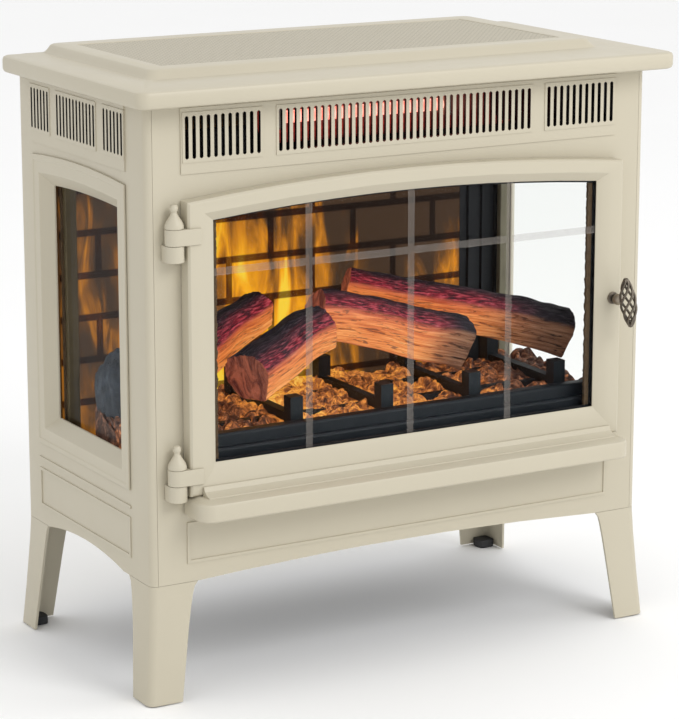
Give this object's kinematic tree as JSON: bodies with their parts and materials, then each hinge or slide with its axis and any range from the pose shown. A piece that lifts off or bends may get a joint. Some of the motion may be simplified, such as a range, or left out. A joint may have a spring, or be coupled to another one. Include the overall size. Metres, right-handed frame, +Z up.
{
  "type": "electric fireplace",
  "caption": "Stove-style electric fireplace on flared legs, with an arched glass door, glazed sides, a glowing log set and a fan heater behind slotted vents.",
  "frame": {"origin": "centre of the bounding box at floor level, under the feet", "axes": "+X to the right of someone facing the door, -Y out of the door towards them, +Z up"},
  "size_m": [0.596, 0.3487, 0.6005],
  "materials": {
    "cream_enamel": "satin almond enamel on pressed steel",
    "cream_mesh": "almond painted panel with a fine diagonal weave",
    "black_paint": "satin black paint on sheet steel",
    "cast_grate": "matte black, slightly rough",
    "antique_bronze": "dark antique bronze, worn bright on the edges",
    "clear_glass": "clear polished glass",
    "flame_print": "printed brick screen lit by moving flames",
    "log_fibre": "cast ceramic fibre, painted as charred wood with glowing splits",
    "ember_resin": "translucent ember moulding lit from below",
    "coal": "rough blue-grey coal",
    "bright_metal": "bare sheet, smooth",
    "motor_steel": "zinc-plated can",
    "infrared_tube": "glowing quartz",
    "white_ceramic": "unglazed steatite",
    "black_plastic": "fine matte texture",
    "button_grey": "satin",
    "circuit_board": "green solder mask",
    "led_white": "white board with amber lamps"
  },
  "bodies": {
    "cabinet": {"top_cover": "cream_enamel", "top_mesh_panel": "cream_mesh", "front_fascia": "cream_enamel", "side_panel_right": "cream_enamel", "side_panel_left": "cream_enamel", "rear_panel": "cream_enamel", "base_pan": "black_paint", "leg_front_right": "cream_enamel", "leg_front_left": "cream_enamel", "leg_back_right": "cream_enamel", "leg_back_left": "cream_enamel", "foot_pad_front_right": "black_plastic", "foot_pad_front_left": "black_plastic", "foot_pad_back_right": "black_plastic", "foot_pad_back_left": "black_plastic", "side_window_frame_right": "cream_enamel", "side_window_frame_left": "cream_enamel", "side_glass_right": "clear_glass", "side_glass_left": "clear_glass", "flame_screen": "flame_print", "ribbed_panel": "black_paint", "firebox_ceiling": "black_paint", "hearth_tray": "black_paint", "ember_bed": "ember_resin", "grate": "cast_grate", "log_left": "log_fibre", "log_front": "log_fibre", "log_centre": "log_fibre", "log_back": "log_fibre", "coal_lump": "coal", "rotor_bearing": "black_plastic", "rotor_motor": "motor_steel", "led_strip": "led_white", "quartz_tube": "infrared_tube", "tube_holder_left": "white_ceramic", "tube_holder_right": "white_ceramic", "heater_reflector": "bright_metal", "blower_housing": "black_paint", "blower_motor": "motor_steel", "control_board": "circuit_board", "control_panel": "black_plastic", "cord_gland": "black_plastic", "cabinet_knuckle_upper": "cream_enamel", "hinge_pin_upper": "cream_enamel", "cabinet_knuckle_lower": "cream_enamel", "hinge_pin_lower": "cream_enamel", "catch_magnet": "black_plastic"},
    "door": {"door_frame": "cream_enamel", "door_glass": "clear_glass", "glass_retainer": "black_paint", "door_ledge": "cream_enamel", "hinge_strap_upper": "cream_enamel", "hinge_strap_lower": "cream_enamel", "handle_post": "antique_bronze", "handle_cage": "antique_bronze"},
    "blower": {"blower_wheel": "bright_metal"},
    "rotor": {"flame_rotor": "bright_metal"},
    "power_button": {"power_button": "button_grey"},
    "flame_button": {"flame_button": "button_grey"},
    "heat_button": {"heat_button": "button_grey"}
  },
  "joints": [
    {"name": "door_hinge", "type": "hinge", "parent": "cabinet", "child": "door", "pos_m": [-0.255, -0.13, 0.34], "axis": [0, 0, -1], "range_deg": [0, 120]},
    {"name": "blower_spin", "type": "hinge", "parent": "cabinet", "child": "blower", "pos_m": [0, -0.005, 0.54], "axis": [1, 0, 0], "continuous": true},
    {"name": "rotor_spin", "type": "hinge", "parent": "cabinet", "child": "rotor", "pos_m": [0, 0.138, 0.262], "axis": [1, 0, 0], "continuous": true},
    {"name": "power_press", "type": "slide", "parent": "cabinet", "child": "power_button", "axis": [0, -1, 0], "range_m": [0, 0.0025], "stiffness_N_per_m": 400},
    {"name": "flame_press", "type": "slide", "parent": "cabinet", "child": "flame_button", "axis": [0, -1, 0], "range_m": [0, 0.0025], "stiffness_N_per_m": 400},
    {"name": "heat_press", "type": "slide", "parent": "cabinet", "child": "heat_button", "axis": [0, -1, 0], "range_m": [0, 0.0025], "stiffness_N_per_m": 400}
  ]
}
